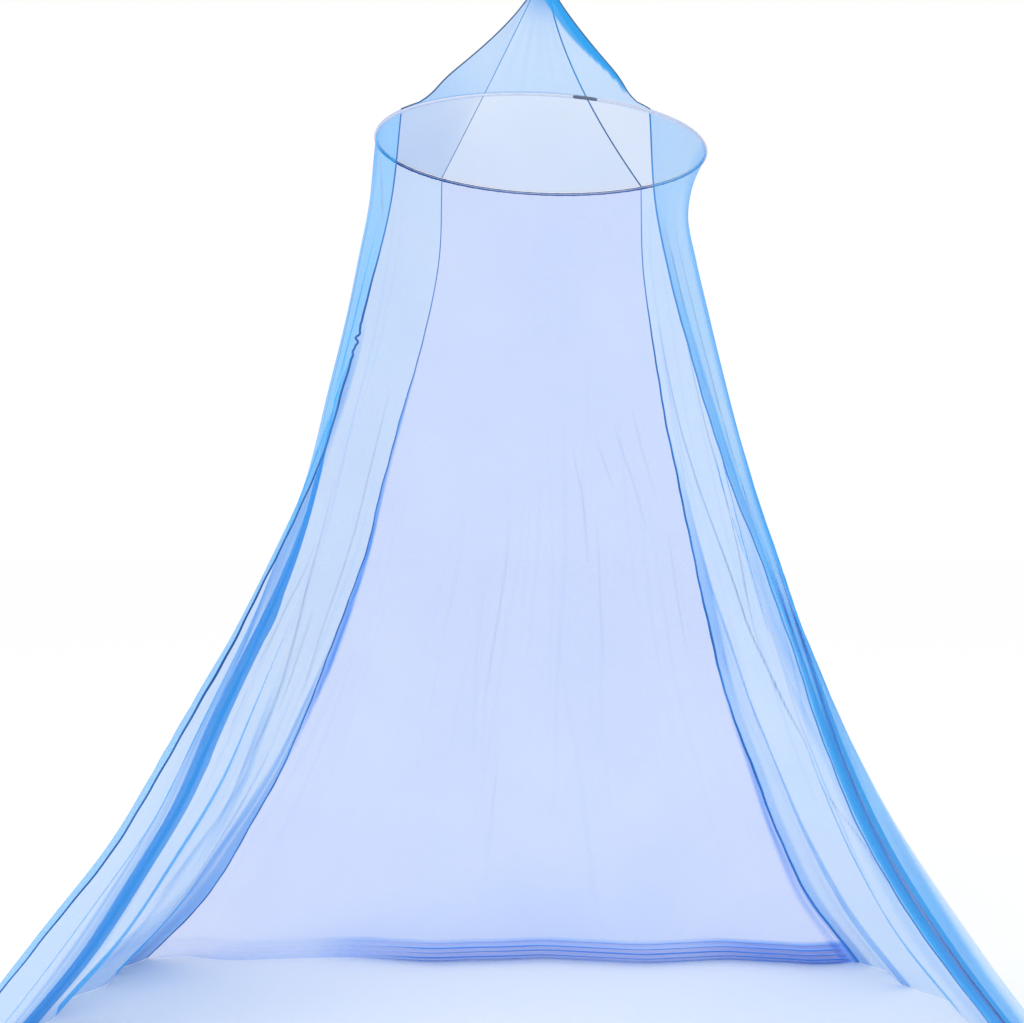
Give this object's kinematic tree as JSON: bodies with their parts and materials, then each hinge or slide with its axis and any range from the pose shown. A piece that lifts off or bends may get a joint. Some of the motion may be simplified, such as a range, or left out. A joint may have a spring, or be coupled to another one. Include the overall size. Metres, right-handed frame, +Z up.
{
  "type": "mosquito net canopy with hoop",
  "caption": "Sheer blue mosquito net canopy that hangs from a cord loop: a pointed dome over a round wire hoop, with gathered side curtains and a back panel below an open front.",
  "frame": {"origin": "top of the hanging loop, where the hook bears", "axes": "+Z up, out of the top of the loop; the open front faces -Y; +X is to the right when looking in through the open front"},
  "size_m": [2.0004, 0.9602, 2.0217],
  "materials": {
    "net": "sheer knitted net",
    "seam": "rolled net seam",
    "wire": "coated wire",
    "sleeve": "matte",
    "cord": "plaited cord"
  },
  "bodies": {
    "root": {"back_panel": "net", "crown_cap": "seam", "curtain_left": "net", "curtain_right": "net", "dome_back": "net", "dome_front": "net", "dome_left": "net", "dome_right": "net", "hanging_loop": "cord", "hoop": "wire", "hoop_casing": "net", "hoop_joint_sleeve": "sleeve", "ridge_far_left": "seam", "ridge_far_right": "seam", "ridge_near_left": "seam", "ridge_near_right": "seam", "seam_far_left": "seam", "seam_far_right": "seam", "seam_near_left": "seam", "seam_near_right": "seam"}
  },
  "joints": []
}
